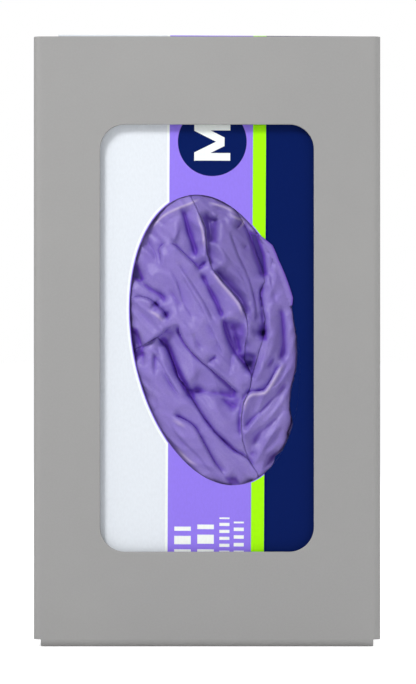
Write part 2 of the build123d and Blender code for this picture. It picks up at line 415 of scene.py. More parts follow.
# ------------------------------------------------------------------ glove material
def make_nitrile():
    """Thin violet nitrile film: satin, a little translucent, with painted shade in its folds, hollows and
    lapped edge, painted shade over some whole gloves, and a painted highlight along its beads.
    """
    material, nodes, principled = new_material(
        "violet_nitrile_film", Specular_IOR_Level=0.42, Subsurface_Weight=0.12, Subsurface_Scale=0.0015)
    principled.inputs["Subsurface Radius"].default_value = (0.6, 0.4, 1.0)
    shades = {name: nodes.add("ShaderNodeAttribute", attribute_name=name).outputs["Fac"]
              for name in ("painted_fold_shade", "painted_glove_shade", "painted_highlight")}
    painted_fold_shade = shades["painted_fold_shade"]
    grain = nodes.place(GRAIN, Size=0.0007, Fineness=3.0)
    cloud = nodes.place(HANDLING, Size=0.012, Amount=1.0)
    violet, lighter, speckled = linear(135, 116, 193), linear(143, 126, 196), linear(124, 105, 186)
    # painted shade colours for the folds, from shallow to deepest
    fold_shade_colour, deep, deepest_shade_colour = linear(116, 88, 186), linear(98, 58, 176), linear(54, 30, 122)
    glove_shade_colour, painted_highlight_colour = linear(104, 88, 158), linear(222, 206, 226)
    base = nodes.mix(cloud["Mask"], violet, lighter)
    base = nodes.mix(nodes.times(grain["Tone"], 0.35), base, speckled)
    # painted shade: the film is darkened in its folds, hollows and lapped edge
    for start, full, colour in ((0.05, 0.7, fold_shade_colour), (0.45, 1.0, deep), (1.0, 1.5, deepest_shade_colour)):
        base = nodes.mix(nodes.ramp(painted_fold_shade, start, full), base, colour)
    # painted shade over whole gloves
    base = nodes.mix(nodes.times(shades["painted_glove_shade"], 0.5), base, glove_shade_colour)
    # painted highlight along the beads
    base = nodes.mix(nodes.times(shades["painted_highlight"], 0.45), base, painted_highlight_colour)
    rough = nodes.math("MULTIPLY_ADD", grain["Tone"], 0.1, 0.42)
    texture = nodes.bump(grain["Height"], 0.25, 0.2 * MM)
    link(nodes, principled, Base_Color=base, Roughness=rough, Normal=texture)
    return material


# ------------------------------------------------------------------ gloves
# Places on the gloves are in millimetres from the middle of the opening: right, and up.
# Heights are in front of the carton's face.
OPENING = Vector((
    CARTON_MIDDLE.x + OVAL_CENTRE[0] * MM, CARD_FACE_Y, CARTON_MIDDLE.z + OVAL_CENTRE[1] * MM))
GLOVE_TILT = OVAL_TILT - CARTON_LEAN
GRID_STEP = 0.45
GRID_HALF = (41, 67)  # right and up, past the oval
SIDE_SOFTNESS = 0.3  # how sharply a fold changes from one side to the other
FOLD_TAPER = 4.0  # the length over which a fold fades out at each end
SHORT_FOLD_TAPER = 2.5  # a short fold fades over its length divided by this
FOLD_LIFT, FOLD_REACH, FOLD_CROWN = 1.75, 1.9, 1.3
CREASE_SHARE, CREASE_REACH, CREASE_CROWN = 0.35, 0.22, 1.3

# A fold is its line, then the height and reach of the film on the line's left-hand and
# right-hand sides, going along it. Two lows make a valley, two highs a ridge, and a high
# beside a low is an edge of film that lies over what is next to it.
LOWER_SEAM = [(-24, 1.3), (-19.9, -2.9), (-17.2, -9.6), (-15.2, -15.8), (-11.9, -19.9), (-8.9, -25.5),
              (-4.3, -32.8), (0.2, -38.6), (5.5, -43.7), (8.4, -46.2), (13.9, -49.5), (17.6, -55.3)]
MIDDLE_SEAM = [(-7.2, 54.1), (-4, 46.6), (-3.2, 36.2), (-1, 29.5), (2.9, 24.5), (7, 20), (10.5, 15.6),
               (13, 9.8)]
SIDE_SEAM = [(10.5, 51.5), (14.2, 44.5), (16.8, 37.5), (19.9, 29.5), (20.9, 24.6)]
CUFF_EDGE = [(11.4, -41.6), (10.9, -33.3), (11.8, -26.2), (14.3, -22.5), (18.9, -21.9), (21.8, -20.4),
             (28.4, -9.1)]

FOLDS = [
    # the long valley above the lower glove: deep at its head, a crease lower down
    (LOWER_SEAM[:6], (-3.4, 6), (-3.0, 5)),
    (LOWER_SEAM[4:], (-3.0, 3.4), (-2.2, 3.2)),
    ([(-24.5, 1.7), (-19.9, -3), (-16.6, -11.4), (-12.4, -19.6), (-10.2, -23)], (-1.8, 1.8), (-1.8, 1.9)),
    ([(-27, -3), (-22.5, -9), (-18.5, -16.5), (-13.6, -24.4)], (0.7, 4), (-0.6, 4)),
    ([(-23.5, -10), (-18.5, -19), (-13.6, -25.4)], (-0.8, 2.5), (-0.6, 2.5)),
    ([(-18.4, -31.2), (-9.6, -36.2), (-4.6, -44.5), (0.1, -52.8), (4.7, -57.4)], (-3.0, 3.6), (0.6, 5)),
    ([(4.6, -56), (8.4, -59), (12, -59.5)], (-2.2, 2.8), (-2.2, 2.5)),
    ([(14.3, -48.3), (17.2, -45.8)], (-1.0, 2), (-1.0, 2)),
    ([(-20, -33), (-13, -42), (-6, -49), (-1, -56)], (0.5, 4), (-0.7, 5)),
    # fan of pleats under the pointed flap at the left
    ([(-36, 17), (-30.5, 17), (-25.5, 14.4), (-19.6, 8.6)], (-3.4, 2.6), (1.6, 5)),
    ([(-26.2, 15.4), (-23.6, 12.8)], (-2.6, 2), (-2.6, 2)),
    ([(-21.4, 11.6), (-19.3, 8.6)], (-2.6, 1.8), (-2.6, 1.8)),
    ([(-18.6, 6.2), (-23.3, 2.6), (-28.6, -1.4), (-36, -7)], (-2.6, 3), (1.4, 6)),
    ([(-36, 30), (-33, 26.4), (-27.4, 21.8), (-22, 18.4), (-20.4, 14.4)], (-2.6, 2.4), (-3.4, 2.8)),
    ([(-35, 32), (-32.6, 28.6), (-31.2, 24.4)], (-6.5, 2.6), (-5, 2.2)),
    ([(-31.5, 30.2), (-25, 25.6), (-20.5, 21)], (0.9, 3), (0.5, 3)),
    ([(-34.4, 4), (-32.6, 1.2), (-29.6, -4.6)], (-6, 2.4), (-5, 2.2)),
    ([(-30.2, -4), (-30.4, -11.4)], (-3.0, 2.2), (-2.4, 2.2)),
    ([(-25.4, -4), (-25.1, -15.6)], (-2.4, 2.2), (-1.8, 2.2)),
    ([(-24.2, -1.6), (-22.8, -8.3)], (-1.2, 1.5), (-1.0, 1.5)),
    ([(-29.8, -15), (-26.5, -22), (-23.6, -29)], (-1.2, 3), (-1.0, 3)),
    ([(-22.6, -27.2), (-26.2, -31)], (-1.4, 2), (-1.4, 2)),
    # pocket above them, and the folds that hang from the rim at the upper left
    ([(-28, 43), (-24.4, 36), (-23.6, 31)], (0.9, 2.4), (-1.0, 2.2)),
    ([(-31, 36), (-27.6, 38.6), (-25.6, 43)], (-1.1, 2.2), (0.5, 2)),
    ([(-26.9, 46.6), (-20.7, 52.9), (-10.3, 57), (-6.1, 59.5)], (0.8, 2.5), (0.5, 2.5)),
    ([(-24.8, 46.0), (-18.6, 50.4), (-14, 52)], (-1.1, 2.2), (-1.3, 2.5)),
    ([(-14.5, 56), (-12.4, 51), (-10.8, 45), (-8.7, 39), (-7.2, 34)], (-2.8, 3.6), (-3.2, 2.4)),
    ([(-7.6, 52.6), (-5.3, 45.5), (-4.4, 37.5), (-6, 31.9)], (1.0, 2), (1.0, 2)),
    ([(-14.5, 48), (-16.8, 41.5), (-19.6, 46)], (-0.7, 2.5), (0.6, 3)),
    # the broad diagonal band of the leading glove and its tongue at the top
    ([(-19.6, 41), (-13.6, 35.6), (-6.3, 28.4)], (-2.4, 3), (1.2, 5)),
    ([(-19.6, 41), (-22.4, 38), (-21.8, 34.6), (-22.4, 30.4)], (1.0, 3), (-2.6, 3)),
    ([(-7.4, 28), (-5.2, 31.2), (-2.6, 33.8)], (-2.6, 1.8), (-2.2, 1.8)),
    ([(-6.6, 28.9), (-2.3, 20.6), (0.8, 14.4), (3.6, 7.6)], (-3.2, 3), (-1.5, 4)),
    ([(-16.5, 33), (-11, 25), (-5.2, 16), (-0.5, 7)], (-0.9, 3.5), (0.4, 4)),
    ([(-19.4, 22), (-16.4, 17.4), (-12.8, 12.4)], (-1.0, 2.2), (-1.3, 2.5)),
    ([(-9.4, 5), (-7.8, 0), (-4.9, -5.4)], (-1.3, 2), (-1.0, 2)),
    ([(-14, 28), (-9, 19.5), (-3.8, 10), (0.4, 1), (4.6, -8)], (0.9, 2.6), (-0.5, 3)),
    ([(-19.5, 30), (-16, 23.5), (-13.4, 15), (-8.6, 7)], (-0.8, 3), (0.5, 3)),
    ([(-3.6, -10), (1.2, -6.2)], (-2.2, 1.6), (-2.0, 1.6)),
    ([(-15.4, 7.5), (-12.8, 0.4), (-8.2, -5.5), (-2.4, -10.6), (4.5, -16.4), (10.3, -22.5)],
     (0.7, 5), (-2.6, 5.5)),
    ([(-11.5, -20), (-6.1, -21.3), (3.3, -22.4), (10.9, -23.7)], (-2.4, 7), (-2.6, 4)),
    ([(2.6, -23.6), (6.4, -26.4), (10.6, -27.6)], (-1.0, 4), (-1.6, 3.6)),
    # the ribbon beside the middle seam and the deep pocket under it
    (MIDDLE_SEAM[:4], (-2.2, 3.5), (0.9, 4)),
    (MIDDLE_SEAM[3:], (-3.9, 4.4), (1.7, 4)),
    ([(-4.4, 54), (-2.6, 48.4), (-1.6, 42.6), (-0.9, 40)], (-2.6, 2.4), (-2.2, 2.2)),
    ([(2.6, 10), (3.8, 4.4), (6, -1.2), (9.8, -7.6), (15.4, -13.6)], (-3.2, 5.5), (-0.6, 2)),
    ([(6.2, 8), (8.4, 3), (9.4, -2), (11.4, -7)], (-2.0, 3.6), (-2.2, 3.2)),
    ([(13.4, -9), (15.6, -14)], (-4, 2.4), (-3, 2.4)),
    ([(12.6, 8.2), (13.4, 2.6), (12.2, -2.4)], (1.5, 1.8), (1.2, 1.6)),
    ([(7.2, -4), (7.2, -9), (6.2, -15.5)], (-0.6, 2), (-1.4, 2.4)),
    # the upper glove: falls away to the right, with its curl and hooked lip at the rim
    ([(-2.8, 57.6), (5.3, 54.9), (9.3, 51.8)], (0.9, 1.6), (0.9, 1.6)),
    ([(-2.1, 55.4), (3, 54), (7.4, 50.4)], (-2.2, 1.5), (-2.2, 1.6)),
    ([(-2.6, 52.4), (-0.4, 49.6), (3.6, 50.2), (5.4, 48)], (-1.4, 1.5), (-1.2, 1.5)),
    ([(-3, 52), (-1, 51), (2.2, 53)], (0.9, 2), (-0.8, 2)),
    ([(10.9, 51.2), (11.4, 48.3), (9.3, 46.2), (7.8, 46.8)], (0.3, 2), (-2.2, 2)),
    ([(8.4, 52.6), (11.4, 49), (12.6, 45.6)], (-2.2, 1.8), (-2.0, 1.6)),
    ([(5.5, 46), (9, 36), (13.5, 26), (16.4, 15), (16.6, 7)], (-1.1, 5), (0.4, 5)),
    ([(0.6, 40.6), (6, 33), (11.6, 24.6), (15, 14)], (-0.6, 3), (0.3, 3)),
    ([(14.2, 40), (11.8, 37.6)], (-1.2, 1.6), (-1.2, 1.6)),
    (SIDE_SEAM, (-5.4, 2.6), (-5.6, 3.4)),
    ([(20.9, 24.6), (19.4, 19), (19.9, 13), (20.5, 7), (20.1, 0.8)], (-2.2, 2.2), (-2.6, 3)),
    ([(20.4, 5), (20.2, 0.4)], (-3.6, 1.8), (-3.6, 2.4)),
    # the side glove: long pleats, then the cuff that lies over them
    ([(24.5, 37), (22.6, 28), (23.6, 20.4)], (-0.9, 2.6), (0.5, 3)),
    ([(24, 21.4), (25.5, 14.2)], (-1.3, 2), (-1.0, 2)),
    ([(22.8, 14), (22.2, 2), (19.8, -9), (17, -17)], (1.2, 3), (1.0, 2.4)),
    ([(27.6, 15), (28.6, 4), (28.4, -4), (26.8, -9)], (-2.6, 3), (-2.2, 2.8)),
    ([(32.2, 13), (32.7, -4), (31.4, -15)], (0.7, 2), (0.7, 2)),
    ([(26, -5.5), (20.3, -12.7)], (-1.6, 2.5), (-1.2, 2.5)),
    ([(31, -10), (27.6, -17), (21.5, -21.5)], (0.9, 2.2), (-0.6, 2)),
    (CUFF_EDGE, (-1.7, 4), (1.4, 6)),
    ([(31, -16.6), (28.4, -19.6), (20.5, -28.3), (14.6, -34), (11.2, -38)], (-2.0, 2.6), (-2.0, 2.4)),
    ([(31.5, -22), (25, -29.8), (17.5, -37), (13, -41.4)], (0.8, 3), (0.8, 3)),
    ([(30.8, -27), (24.5, -33.4), (18.5, -38.6), (14.8, -44.7)], (-1.6, 2.6), (-1.0, 2.4)),
    ([(29.4, -35), (24.6, -40.6), (19.3, -47.3)], (-1.6, 2.6), (-0.9, 2.2)),
    ([(26.5, -46.5), (29.8, -41.4), (28.9, -38.8), (31, -33), (30.1, -29.1), (31.5, -24)],
     (0.6, 2), (-7, 4)),
    ([(19.6, -54.5), (24, -49.6), (26, -46.4)], (-3, 1.8), (-3, 1.8)),
]

# Hollows where the film drops back behind its neighbours: the corners, in order round the outline,
# then how deep each one is, and how dark its painted shade is. Above 1 that shade is as dark as a gap
# between gloves.
HOLLOWS = [
    ([(3.6, 8.4), (4.2, 2.4), (7.4, -7.6), (10.4, -4), (12.6, 2.4), (12.2, 7)], 1.2, 0.6),
    ([(9.6, -6.6), (15.6, -15), (17, -6.8), (13.6, -5.4)], 1.5, 1.35),
    ([(2.8, 24.8), (6.9, 20.2), (10.5, 15.4), (13, 9.4), (15.4, 9), (13.4, 16), (9.2, 22.4), (4.4, 27.4)],
     1.0, 0.6),
    ([(14.2, 45), (16.2, 37.4), (19.6, 27), (21.4, 27.4), (20.6, 35.4), (17.6, 44.4)], 2.6, 1.6),
    ([(18.6, 6), (18.8, 0), (21.4, 0), (21.2, 6)], 1.0, 1.3),
    ([(-38, 34.5), (-37, 26.6), (-31, 24.4), (-29.8, 25.6), (-32.2, 31)], 1.4, 1.5),
    ([(-37, 5.6), (-34, -9), (-29.6, -6.4), (-32.4, 4.4)], 1.4, 1.3),
    ([(-27.4, 16.4), (-26.4, 12.8), (-19, 8), (-20, 12)], 0.6, 0.45),
    ([(-13.8, 54.6), (-11.6, 45), (-8.4, 34), (-6.8, 35.6), (-8.2, 46), (-9.4, 54.8)], 0.8, 0.4),
    ([(-3.6, 50.6), (-2.4, 41.2), (0.6, 40.2), (0.6, 50.4)], 1.2, 1.2),
    ([(-20, -4), (-13.6, -20.4), (-9.4, -24.6), (-11, -18.6), (-15.8, -8.8)], 0.6, 1.0),
    ([(1.8, -24.2), (7.2, -29.8), (9.4, -28.4), (10.6, -24)], 1.2, 0.6),
    ([(4.2, -57.2), (6.4, -61), (10.5, -60.4), (9, -57.2)], 1.2, 0.8),
    ([(26.4, 13), (29.4, 10), (30.6, -2), (29.6, -9.4), (26.6, -8), (27, 2)], 0.7, 0.45),
    ([(8, 1), (13, 1), (16.6, -7.4), (15.4, -14.6), (11, -9)], 0.8, 0.4),
    ([(-30, 40), (-26, 46), (-21.5, 45), (-21.5, 38), (-24, 31), (-30, 30)], 0.4, 0.25),
]
HOLLOW_EDGE = 1.3  # half the width over which a hollow eases into the film round it

# Rolled beads where the film's own edge or a sharp fold catches the light, raised a little and given a
# painted highlight.
BEADS = [
    [(-1.8, 29), (2, 23.8), (6, 19.3), (9.5, 14.9), (11.9, 9.4)],
    [(12.2, -30), (13.2, -25.4), (15.2, -23.2), (19.2, -22.6), (22.3, -21), (28.9, -9.6)],
    [(5, 53.2), (8.7, 51), (11.7, 49.9), (11.4, 47.6), (9.3, 46.2)],
    [(-28.6, 12.9), (-24.3, 10.4), (-20.9, 7.2)],
    [(-18.1, -33), (-11.9, -36.5)],
    [(-26.9, 46.4), (-20.7, 52.3), (-10.3, 56.8), (-6.1, 59)],
    [(-2.8, 57.4), (5.3, 54.9), (9.3, 51.8)],
    [(-7.6, 52.6), (-5.3, 45.5), (-4.4, 37.5)],
    [(-16.9, -44.4), (-11, -50.2), (-6.7, -52.5)],
]
BEAD_WIDTH, BEAD_HEIGHT = 0.5, 0.3

# Where one glove stops and the next begins. Each line runs down the opening, past both rims.
CUFF_CUT = [(14.6, -20.5), (11.8, -26.2), (10.9, -33.3), (11.4, -41.6), (13.9, -49.5), (17.6, -66)]
LOWER_CUT = [(-44, -10), (-28.6, -1.5)] + LOWER_SEAM + [(22, -68)]
MIDDLE_CUT = [(-13, 66)] + MIDDLE_SEAM + [(13.8, 4), (12.6, -2.4), (12.4, -8), (15.4, -14.6)] + CUFF_CUT
SIDE_CUT = ([(2, 66)] + SIDE_SEAM + [(18.9, 20), (19.7, 14.6), (20.9, 8.8), (20.1, 0.5), (15.8, -13.5)]
            + CUFF_CUT)


def smooth_line(points, steps=6):
    """The line through the points with its corners eased."""
    points = np.array(points, float)
    if len(points) < 3:
        return points
    ends = np.vstack([2 * points[0] - points[1], points, 2 * points[-1] - points[-2]])
    out = []
    for i in range(len(points) - 1):
        a, b, c, d = ends[i:i + 4]
        for t in np.arange(steps) / steps:
            out.append(0.5 * (2 * b + (c - a) * t + (2 * a - 5 * b + 4 * c - d) * t ** 2
                              + (3 * b - a - 3 * c + d) * t ** 3))
    return np.array(out + [points[-1]])


def eased(share):
    """The share, held between 0 and 1, with a soft start and end."""
    share = np.clip(share, 0, 1)
    return share * share * (3 - 2 * share)


def end_fade(along, length, taper=FOLD_TAPER):
    """0 at both ends of a line, rising to 1 over the taper."""
    return np.clip(np.minimum(along, length - along) / taper, 0, 1)


def beside_line(right, up, line):
    """For every place: its distance to the left of the line (negative on its right), and how far
    along the line it is nearest to, from 0 to the line's length, which is given last."""
    best = np.full(right.shape, np.inf)
    signed = np.zeros(right.shape)
    along = np.zeros(right.shape)
    start = 0.0
    for (ax, az), (bx, bz) in zip(line[:-1], line[1:]):
        dx, dz = bx - ax, bz - az
        length = math.hypot(dx, dz)
        t = ((right - ax) * dx + (up - az) * dz) / length ** 2
        t = np.clip(t, 0, 1)
        px, pz = right - ax - t * dx, up - az - t * dz
        distance = np.hypot(px, pz)
        side = np.sign(dx * pz - dz * px)
        nearer = distance < best
        best = np.where(nearer, distance, best)
        signed = np.where(nearer, side * distance, signed)
        along = np.where(nearer, start + t * length, along)
        start += length
    return signed, along, start


def fold_height(right, up, points, left_side, right_side):
    """How much one fold raises or lowers the film: a broad slope and a narrower crease on each side."""
    signed, along, length = beside_line(right, up, smooth_line(points))
    strength = eased(end_fade(along, length, min(FOLD_TAPER, length / SHORT_FOLD_TAPER)))
    distance = np.abs(signed)
    on_left = 0.5 + 0.5 * np.tanh(signed / SIDE_SOFTNESS)
    height = 0.0
    for share, (lift, reach) in ((on_left, left_side), (1 - on_left, right_side)):
        near = distance / (reach * FOLD_REACH)
        profile = (1 - CREASE_SHARE) * np.clip(1 - near, 0, 1) ** FOLD_CROWN
        profile += CREASE_SHARE * np.clip(1 - near / CREASE_REACH, 0, 1) ** CREASE_CROWN
        height = height + share * lift * FOLD_LIFT * profile
    return height * strength


def hollow_share(right, up, corners):
    """1 inside the corners, easing to 0 at their outline."""
    outline = np.array(corners + corners[:1], float)
    distance = np.abs(beside_line(right, up, outline)[0])
    within = np.zeros(right.shape, bool)
    for (ax, az), (bx, bz) in zip(outline[:-1], outline[1:]):
        if az != bz:
            spans = (az > up) != (bz > up)
            within ^= spans & (right < ax + (up - az) / (bz - az) * (bx - ax))
    return eased(0.5 + np.where(within, distance, -distance) / (2 * HOLLOW_EDGE))


def oval_share(right, up):
    """0 in the middle of the opening and 1 on its cut edge."""
    cos, sin = math.cos(GLOVE_TILT), math.sin(GLOVE_TILT)
    return np.hypot((right * cos + up * sin) / OVAL_HALF[0], (up * cos - right * sin) / OVAL_HALF[1])


# Down the right-hand side, how far the film laps over the board beyond the cut edge, or, below 0,
# how far a strip of board left by the tear reaches into the opening. Rows are up, reach.
TORN_SIDE = [(-60, 0), (-52, -0.4), (-48.5, -1.7), (-46, -0.1), (-36.5, -0.2), (-32, -1.4), (-28, -3.4),
             (-20, -3.4), (-15.5, -2.6), (-11, -1.4), (-2, -0.7), (9, -0.5), (13.4, 0), (17.6, 1.6),
             (33, 1.8), (39.5, 2.7), (43.5, 0.4), (46, 0)]
TORN_FROM, TORN_TO = 8.0, 20.0  # the reach is felt between these places to the right
LEAST_LAP = 0.3  # a shorter lap stays under the board
LAP_FROM = 0.985  # share of the oval at which the film has come up past the board


def torn_reach(up):
    """How far the film's outline is beyond the cut edge, or short of it, at each height."""
    return np.interp(up, *zip(*TORN_SIDE))


def beside_lap(right, up, least):
    """Down the right-hand side, where the film laps over the board by more than the least."""
    return (torn_reach(up) > least) & (right > TORN_FROM)


def rim_share(right, up):
    """0 in the middle of the opening and 1 where the film's outline shows."""
    felt = eased((right - TORN_FROM) / (TORN_TO - TORN_FROM))
    return oval_share(right - torn_reach(up) * felt, up)


def laps_over(right, up):
    """Where the film lies over the face of the board."""
    return beside_lap(right, up, LEAST_LAP) & (oval_share(right, up) > LAP_FROM)


def blur(heights, radius):
    """Gaussian blur of a grid of heights, with the radius in millimetres."""
    reach = int(3 * radius / GRID_STEP) + 1
    weights = np.exp(-0.5 * (np.arange(-reach, reach + 1) * GRID_STEP / radius) ** 2)
    weights /= weights.sum()
    for axis in (0, 1):
        padded = np.pad(heights, [(reach, reach) if a == axis else (0, 0) for a in (0, 1)], mode="edge")
        heights = np.apply_along_axis(lambda row: np.convolve(row, weights, mode="valid"), axis, padded)
    return heights


def wander(right, up, size, seed, heading=0.0, stretch=1.0):
    """Smooth random unevenness of about -1 to 1, in swells of the given size in millimetres. They are
    drawn out along the heading by the stretch."""
    rng = np.random.default_rng(seed)
    along = (right * math.cos(heading) + up * math.sin(heading)) / stretch
    across = up * math.cos(heading) - right * math.sin(heading)
    waves = 14
    least, most = (0, 0, 0.7), (2 * math.pi, 2 * math.pi, 1.5)
    total = np.zeros(right.shape)
    for angle, phase, pitch in rng.uniform(least, most, (waves, 3)):
        turns = math.pi / (size * pitch)
        total += np.sin(turns * (along * math.cos(angle) + across * math.sin(angle)) + phase)
    return total / math.sqrt(waves)


DOME_HEIGHT, DOME_SQUARENESS, DOME_ROUNDNESS = 7.6, 3.6, 0.65
RIM_DEPTH = 1.0  # how far behind the carton's face the film meets the rim
RIM_CLEARANCE, RIM_SLOPE = 0.75, 2.5
WRINKLE_HEADING, CUFF_HEADING = math.radians(-52), math.radians(62)
SWELL = (0.7, 14, 1.8)  # height, size and stretch
SWALES = [(1.3, 8, 2.8), (0.7, 4, 2.4)]  # depth, size and stretch of each
SWALE_SHARPNESS = 0.8
SIDE_BLEND = 2  # width over which one way of running gives way to the other
FULL_FOLD_ROOM, LEAST_FOLD = 7.5, 0.35  # near the rim, where the film is low, folds are shallower
OVERHANG, OVERHANG_REACH = 0.22, 2.2  # how far a fold's high edge leans over its low side
RIPPLE = (0.07, 1.1, 3.5)  # height, size and stretch
RIPPLE_PATCH = 9
FOLD_SOFTNESS = 0.35
DEEPEST, FLOOR_SHARPNESS = -3.0, 1.6
PAINTED_CREASE_SHADES = [(1.3, 1.2, 0.5), (3.5, 2.4, 0.7)]  # painted shade in dips: width of a dip, its depth for full shade, and its share
EDGE_PAINTED_SHADE, EDGE_SHADE = 0.9, 1.2  # painted shade along the lapped film's edge: how dark, and how wide


def make_dome(right, up, share):
    """Height of the heap before its folds: a squarish dome with swells and swales, which run one way on
    the side glove and another way on the rest."""
    height = DOME_HEIGHT * (1 - np.clip(share, 0, 1) ** DOME_SQUARENESS) ** DOME_ROUNDNESS - RIM_DEPTH
    on_side = np.clip(beside_line(right, up, np.array(SIDE_CUT, float))[0] / SIDE_BLEND, 0, 1)
    for part, heading, seed in ((1 - on_side, WRINKLE_HEADING, 3), (on_side, CUFF_HEADING, 13)):
        lift, size, stretch = SWELL
        height += part * lift * wander(right, up, size, seed, heading, stretch)
        for depth, size, stretch in SWALES:
            seed += 1
            swale = np.abs(wander(right, up, size, seed, heading, stretch)) ** SWALE_SHARPNESS
            height -= part * depth * swale
    return height


def film_relief(right, up):
    """The film over the opening: its height, how far it drifts right and up, its painted shade in folds,
    hollows and edges, and its painted highlight on beads."""
    share = rim_share(right, up)
    height = make_dome(right, up, share)
    drift_right, drift_up = np.zeros(right.shape), np.zeros(right.shape)
    room = np.clip((height - DEEPEST) / FULL_FOLD_ROOM, LEAST_FOLD, 1)
    for points, left_side, right_side in FOLDS:
        height += room * fold_height(right, up, points, left_side, right_side)
        if left_side[0] * right_side[0] < 0:
            signed, along, length = beside_line(right, up, smooth_line(points))
            high = 1 if left_side[0] > right_side[0] else -1
            near = np.clip(1 - np.abs(signed) / OVERHANG_REACH, 0, 1) ** 2
            reach = near * (signed * high > -SIDE_SOFTNESS) * end_fade(along, length)
            lean_up, lean_right = np.gradient(signed, GRID_STEP)
            push = OVERHANG * abs(left_side[0] - right_side[0]) * reach * high
            drift_right -= push * np.clip(lean_right, -1, 1)
            drift_up -= push * np.clip(lean_up, -1, 1)
    painted_dark_shade = np.zeros(right.shape)
    # each hollow is lowered and given painted shade
    for corners, depth, shade_darkness in HOLLOWS:
        share_in = hollow_share(right, up, corners)
        height -= depth * share_in
        painted_dark_shade = np.maximum(painted_dark_shade, shade_darkness * share_in)
    patches = np.clip(0.5 + wander(right, up, RIPPLE_PATCH, 7), 0, 1.4)
    lift, size, stretch = RIPPLE
    height += lift * patches * wander(right, up, size, 9, WRINKLE_HEADING, stretch)
    height = blur(height, FOLD_SOFTNESS)
    height = DEEPEST + np.log1p(np.exp((height - DEEPEST) * FLOOR_SHARPNESS)) / FLOOR_SHARPNESS
    from_rim = (1 - share) * OVAL_HALF[0]
    height = np.minimum(height, -RIM_CLEARANCE + np.clip(from_rim, -1, 9) * RIM_SLOPE)
    # painted shade wherever the film lies below its blurred surroundings
    painted_fold_shade = np.zeros(right.shape)
    for width, full_depth, part in PAINTED_CREASE_SHADES:
        painted_fold_shade += np.clip((blur(height, width) - height) / full_depth, 0, 1) * part
    painted_highlight = np.zeros(right.shape)
    for points in BEADS:
        signed, along, length = beside_line(right, up, smooth_line(points))
        # each bead raises the film a little and carries a painted highlight
        bead = np.exp(-(signed / BEAD_WIDTH) ** 2) * end_fade(along, length)
        height += BEAD_HEIGHT * bead
        painted_highlight = np.maximum(painted_highlight, bead)
    # painted shade along the edge where the film laps over the board
    lapped_edge = laps_over(right, up) * np.clip(1 - from_rim / EDGE_SHADE, 0, 1)
    painted_dark_shade = np.maximum(painted_dark_shade, EDGE_PAINTED_SHADE * lapped_edge)
    return height, drift_right, drift_up, np.maximum(np.clip(painted_fold_shade, 0, 1), painted_dark_shade), painted_highlight


GLOVE_GAP = 0.12
# How much painted shade darkens each glove's colour.
PAINTED_GLOVE_SHADE = {"lower_glove": 0.0, "leading_glove": 0.15, "upper_glove": 1.0, "side_glove": 0.1}
EDGE_ROLL, EDGE_REACH = 0.5, 1.0  # how far a glove's edge rolls in, and over what width
DEEPEST_EDGE = DEEPEST - 0.5
UNDERSIDE = -2.7
UNDERSIDE_CRUMPLE = [  # depth, size, seed, heading and stretch
    (0.5, 6, 21, 0.0, 1.0), (0.25, 2.2, 22, 0.6, 3.0)]
FILM_BEYOND_RIM = 0.045  # tucked under the board, as a share of the oval
FILM_THICKNESS = 0.4
LEAST_STEEPNESS = 0.25  # keeps a corner moved onto an outline near its place
LAP_HEIGHT = 0.15  # how far in front of the board's face the lapped film lies


def glove_areas(right, up):
    """How far inside each glove's own area a place is, in millimetres."""
    def beside(points):
        return beside_line(right, up, np.array(points, float))[0]
    above_lower, right_of_middle, right_of_side = beside(LOWER_CUT), beside(MIDDLE_CUT), beside(SIDE_CUT)
    tucked = np.where(beside_lap(right, up, 0.01), 0, FILM_BEYOND_RIM)
    under_board = (1 + tucked - rim_share(right, up)) * OVAL_HALF[0]
    areas = {
        "lower_glove": -above_lower,
        "leading_glove": np.minimum(above_lower, -right_of_middle),
        "upper_glove": np.minimum(right_of_middle, -right_of_side),
        "side_glove": np.minimum(above_lower, right_of_side),
    }
    return {name: np.minimum(area - GLOVE_GAP / 2, under_board) for name, area in areas.items()}


def closed_film(name, inside, right, up, front, back, shades):
    """A closed form over the places where inside is above 0: the film seen from the front, the
    crumpled film behind it, and the edge that joins them, whose corners are moved onto the outline."""
    slope_up, slope_right = np.gradient(inside, GRID_STEP)
    steepness = np.maximum(slope_up ** 2 + slope_right ** 2, LEAST_STEEPNESS)
    outside = np.minimum(inside, 0)
    right = right - outside * slope_right / steepness
    up = up - outside * slope_up / steepness
    keep = inside > 0
    cells = keep[:-1, :-1] | keep[1:, :-1] | keep[:-1, 1:] | keep[1:, 1:]
    rows, columns = np.nonzero(cells)
    number = np.arange(inside.size).reshape(inside.shape)
    corners = np.stack([number[rows, columns], number[rows, columns + 1],
                        number[rows + 1, columns + 1], number[rows + 1, columns]], axis=1)
    used, faces = np.unique(corners, return_inverse=True)
    faces = faces.reshape(corners.shape)
    count = len(used)

    def layer(height):
        return np.stack([OPENING.x + right.flat[used] * MM, OPENING.y - height.flat[used] * MM,
                         OPENING.z + up.flat[used] * MM], axis=1)
    points = np.vstack([layer(front), layer(back)])
    starts = faces.ravel()
    ends = np.roll(faces, -1, axis=1).ravel()
    shared = set(zip(ends.tolist(), starts.tolist()))
    rim = [(a, b) for a, b in zip(starts.tolist(), ends.tolist()) if (a, b) not in shared]
    sides = [(b, a, a + count, b + count) for a, b in rim]
    mesh = bpy.data.meshes.new(name)
    mesh.from_pydata(points.tolist(), [], faces.tolist() + (faces[:, ::-1] + count).tolist() + sides)
    for shade, values in shades.items():
        attribute = mesh.attributes.new(shade, "FLOAT", "POINT")
        attribute.data.foreach_set("value", np.tile(values.flat[used], 2))
    mesh.polygons.foreach_set("use_smooth", [True] * len(mesh.polygons))
    return new_object(name, mesh)


